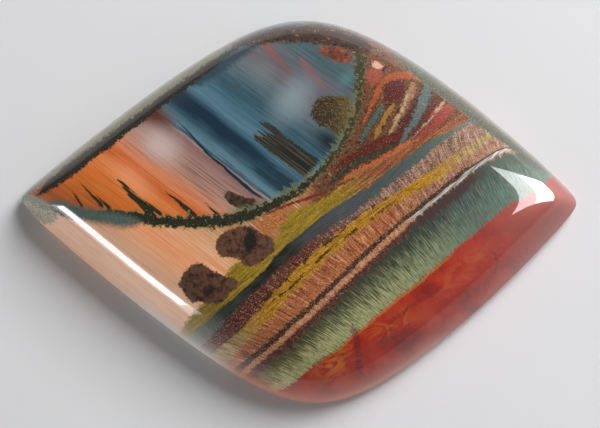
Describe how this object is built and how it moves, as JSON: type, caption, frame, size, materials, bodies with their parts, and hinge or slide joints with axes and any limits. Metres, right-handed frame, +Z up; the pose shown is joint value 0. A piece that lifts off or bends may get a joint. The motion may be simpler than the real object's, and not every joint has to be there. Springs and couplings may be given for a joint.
{
  "type": "marra mamba tiger eye cabochon",
  "caption": "Polished freeform cabochon of banded tiger eye with two sharp tips, a low dome and a flat back.",
  "frame": {"origin": "middle of the stone's bounding box in plan, on the flat back it rests on", "axes": "+X along the stone's length away from its chipped tip, +Y across it, +Z up out of the dome"},
  "size_m": [0.0448, 0.032, 0.006],
  "materials": {
    "polished_stone": null
  },
  "bodies": {
    "root": {"cabochon": "polished_stone"}
  },
  "joints": []
}
